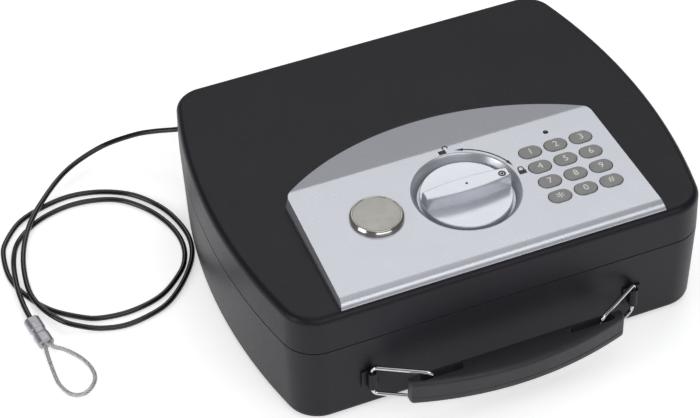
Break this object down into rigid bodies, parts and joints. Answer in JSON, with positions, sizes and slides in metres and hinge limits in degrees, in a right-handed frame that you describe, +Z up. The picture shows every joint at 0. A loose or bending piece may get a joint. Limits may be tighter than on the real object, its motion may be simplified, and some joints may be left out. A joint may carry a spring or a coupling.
{
  "type": "cash box",
  "caption": "Portable steel security box with lift-up lid, keypad and turn knob on a raised fascia, folding front handle and a looped tether cable.",
  "frame": {"origin": "centre of the case with its handle and hinge, on the surface the feet stand on (the loose cable is left out)", "axes": "+X right along the front edge, +Y from the handle to the hinge, +Z up"},
  "size_m": [0.4881, 0.3769, 0.1185],
  "materials": {
    "coated_steel": "black powder coat, fine texture",
    "black_plastic": "satin moulded",
    "silver_plastic": "satin metallic paint on ABS",
    "zinc_steel": "zinc plated",
    "satin_nickel": "satin face with polished rim",
    "chrome_wire": "bright",
    "rubber": "matt",
    "key_rubber": "matt grey moulded",
    "vinyl": "glossy vinyl sleeve on steel cable",
    "aluminium": "pressed sleeve",
    "wire_rope": "bare twisted strands",
    "board": "solder mask",
    "led_plastic": "polished",
    "solenoid_case": "satin",
    "battery_wrap": "shrink sleeve",
    "mat_felt": "flocked mat"
  },
  "bodies": {
    "base": {"base_pan": "coated_steel", "rim_lip": "coated_steel", "floor_mat": "mat_felt", "foot_front_left": "rubber", "foot_front_right": "rubber", "foot_back_left": "rubber", "foot_back_right": "rubber", "keeper_left": "zinc_steel", "keeper_right": "zinc_steel", "hinge_leaf_base": "coated_steel", "hinge_pin": "zinc_steel", "bracket_left": "coated_steel", "bracket_right": "coated_steel", "cable_grommet": "rubber", "cable_stop": "zinc_steel", "tether_cable": "vinyl", "cable_ferrule": "aluminium", "cable_eye": "wire_rope"},
    "lid": {"lid_shell": "coated_steel", "hinge_leaf_lid": "coated_steel", "fascia_bezel": "black_plastic", "fascia": "silver_plastic", "lock_housing": "black_plastic", "keypad_mat": "rubber", "keypad_board": "board", "led_lens": "led_plastic", "solenoid_body": "solenoid_case", "battery_box": "black_plastic", "cell_1": "battery_wrap", "cell_2": "battery_wrap", "cell_3": "battery_wrap", "cell_4": "battery_wrap", "override_body": "zinc_steel"},
    "knob_group": {"knob": "silver_plastic", "knob_spindle": "zinc_steel", "lock_cam": "zinc_steel"},
    "bolts": {"bolt_carriage": "zinc_steel"},
    "plunger": {"solenoid_plunger": "zinc_steel"},
    "cap": {"override_cap": "satin_nickel"},
    "plug": {"override_plug": "zinc_steel"},
    "battery_door": {"battery_cover": "black_plastic"},
    "grip": {"handle_grip": "black_plastic"},
    "bail_l": {"bail_left": "chrome_wire"},
    "bail_r": {"bail_right": "chrome_wire"},
    "button_1": {"key_1": "key_rubber"},
    "button_2": {"key_2": "key_rubber"},
    "button_3": {"key_3": "key_rubber"},
    "button_4": {"key_4": "key_rubber"},
    "button_5": {"key_5": "key_rubber"},
    "button_6": {"key_6": "key_rubber"},
    "button_7": {"key_7": "key_rubber"},
    "button_8": {"key_8": "key_rubber"},
    "button_9": {"key_9": "key_rubber"},
    "button_star": {"key_star": "key_rubber"},
    "button_0": {"key_0": "key_rubber"},
    "button_hash": {"key_hash": "key_rubber"}
  },
  "joints": [
    {"name": "lid_hinge", "type": "hinge", "parent": "base", "child": "lid", "pos_m": [0, 0.1567, 0.071], "axis": [-1, 0, 0], "range_deg": [0, 100]},
    {"name": "knob_turn", "type": "hinge", "parent": "lid", "child": "knob_group", "pos_m": [0.0015, -0.0466, 0.11098], "axis": [0, -0.0314, 0.9995], "range_deg": [0, 88]},
    {"name": "bolt_slide", "type": "slide", "parent": "lid", "child": "bolts", "axis": [0, 1, 0], "range_m": [0, 0.0091]},
    {"name": "solenoid_pull", "type": "slide", "parent": "lid", "child": "plunger", "axis": [-1, 0, 0], "range_m": [0, 0.004], "stiffness_N_per_m": 60},
    {"name": "cap_lift", "type": "slide", "parent": "lid", "child": "cap", "axis": [0, -0.0314, 0.9995], "range_m": [0, 0.03]},
    {"name": "override_turn", "type": "hinge", "parent": "lid", "child": "plug", "pos_m": [-0.0688, -0.0466, 0.11098], "axis": [0, -0.0314, 0.9995], "range_deg": [0, 90]},
    {"name": "battery_cover_slide", "type": "slide", "parent": "lid", "child": "battery_door", "axis": [0, 1, 0], "range_m": [0, 0.045]},
    {"name": "grip_pull", "type": "slide", "parent": "base", "child": "grip", "axis": [0, -1, 0], "range_m": [-0.0195, 0.0074]},
    {"name": "bail_left_swing", "type": "hinge", "parent": "base", "child": "bail_l", "pos_m": [-0.106, -0.1233, 0.03275], "axis": [0, 0, -1], "range_deg": [-28.7, 10.9]},
    {"name": "bail_right_swing", "type": "hinge", "parent": "base", "child": "bail_r", "pos_m": [0.1014, -0.1233, 0.03275], "axis": [0, 0, 1], "range_deg": [-28.7, 10.9]},
    {"name": "key_1_press", "type": "slide", "parent": "lid", "child": "button_1", "axis": [0, 0.0314, -0.9995], "range_m": [0, 0.001], "stiffness_N_per_m": 400},
    {"name": "key_2_press", "type": "slide", "parent": "lid", "child": "button_2", "axis": [0, 0.0314, -0.9995], "range_m": [0, 0.001], "stiffness_N_per_m": 400},
    {"name": "key_3_press", "type": "slide", "parent": "lid", "child": "button_3", "axis": [0, 0.0314, -0.9995], "range_m": [0, 0.001], "stiffness_N_per_m": 400},
    {"name": "key_4_press", "type": "slide", "parent": "lid", "child": "button_4", "axis": [0, 0.0314, -0.9995], "range_m": [0, 0.001], "stiffness_N_per_m": 400},
    {"name": "key_5_press", "type": "slide", "parent": "lid", "child": "button_5", "axis": [0, 0.0314, -0.9995], "range_m": [0, 0.001], "stiffness_N_per_m": 400},
    {"name": "key_6_press", "type": "slide", "parent": "lid", "child": "button_6", "axis": [0, 0.0314, -0.9995], "range_m": [0, 0.001], "stiffness_N_per_m": 400},
    {"name": "key_7_press", "type": "slide", "parent": "lid", "child": "button_7", "axis": [0, 0.0314, -0.9995], "range_m": [0, 0.001], "stiffness_N_per_m": 400},
    {"name": "key_8_press", "type": "slide", "parent": "lid", "child": "button_8", "axis": [0, 0.0314, -0.9995], "range_m": [0, 0.001], "stiffness_N_per_m": 400},
    {"name": "key_9_press", "type": "slide", "parent": "lid", "child": "button_9", "axis": [0, 0.0314, -0.9995], "range_m": [0, 0.001], "stiffness_N_per_m": 400},
    {"name": "key_star_press", "type": "slide", "parent": "lid", "child": "button_star", "axis": [0, 0.0314, -0.9995], "range_m": [0, 0.001], "stiffness_N_per_m": 400},
    {"name": "key_0_press", "type": "slide", "parent": "lid", "child": "button_0", "axis": [0, 0.0314, -0.9995], "range_m": [0, 0.001], "stiffness_N_per_m": 400},
    {"name": "key_hash_press", "type": "slide", "parent": "lid", "child": "button_hash", "axis": [0, 0.0314, -0.9995], "range_m": [0, 0.001], "stiffness_N_per_m": 400}
  ],
  "couplings": [
    {"joint": "bolt_slide", "follows": "knob_turn", "m_per_rad": 0.005879},
    {"joint": "bail_left_swing", "follows": "grip_pull", "rad_per_m": 25.656},
    {"joint": "bail_right_swing", "follows": "grip_pull", "rad_per_m": 25.656}
  ]
}
